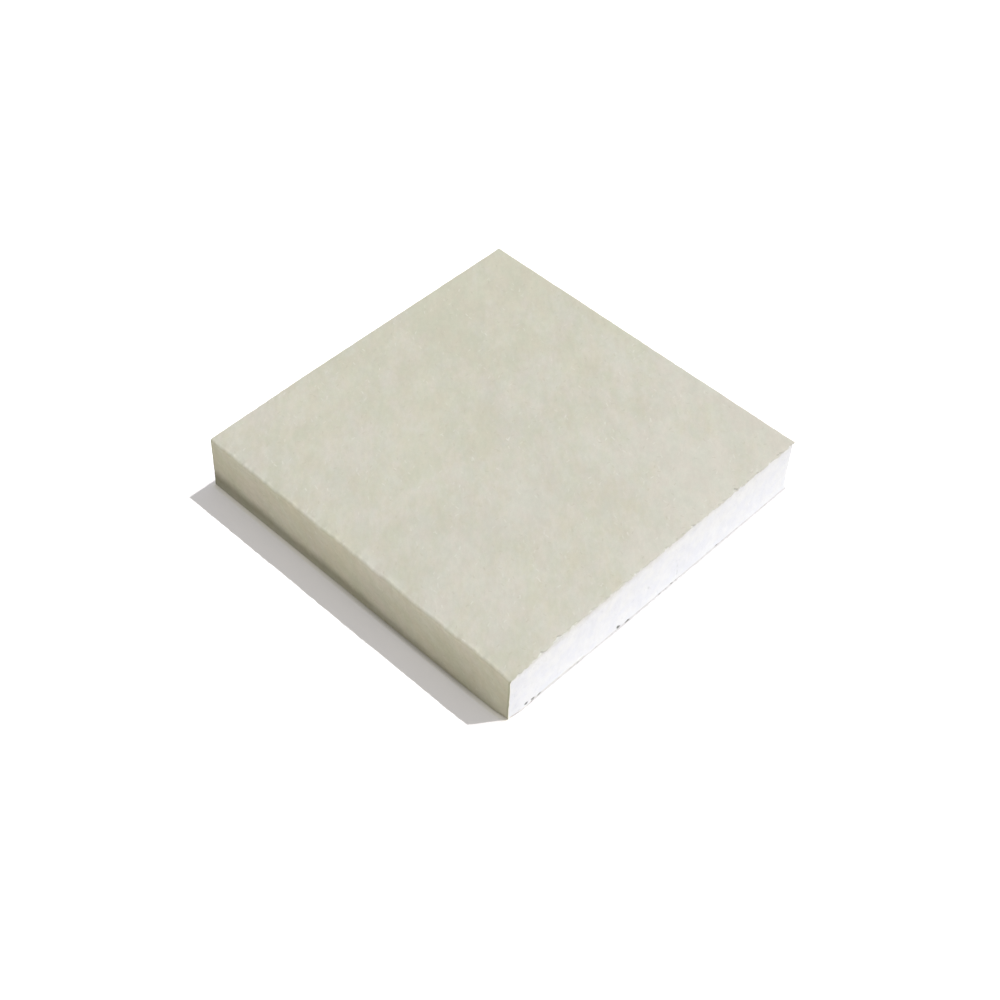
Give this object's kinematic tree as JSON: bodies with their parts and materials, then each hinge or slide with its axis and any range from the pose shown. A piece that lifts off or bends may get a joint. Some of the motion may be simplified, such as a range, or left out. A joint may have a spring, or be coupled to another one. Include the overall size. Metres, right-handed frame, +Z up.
{
  "type": "drywall sheet",
  "caption": "Square piece of drywall with ivory face paper folded round one bound edge, a white gypsum core bare on the cut sides and a grey back paper, for lining walls and ceilings.",
  "frame": {"origin": "middle of the underside, on the surface that the piece lies on", "axes": "+Z up through the thickness, from the back to the face; +X along the bound edge, towards the cut end in view; -Y out of the bound edge, so +Y runs across the board"},
  "size_m": [0.075, 0.075, 0.0125],
  "materials": {
    "gypsum": "matte",
    "face_paper": "matte",
    "back_paper": "matte"
  },
  "bodies": {
    "root": {"gypsum_core": "gypsum", "face_paper": "face_paper", "back_paper": "back_paper"}
  },
  "joints": []
}
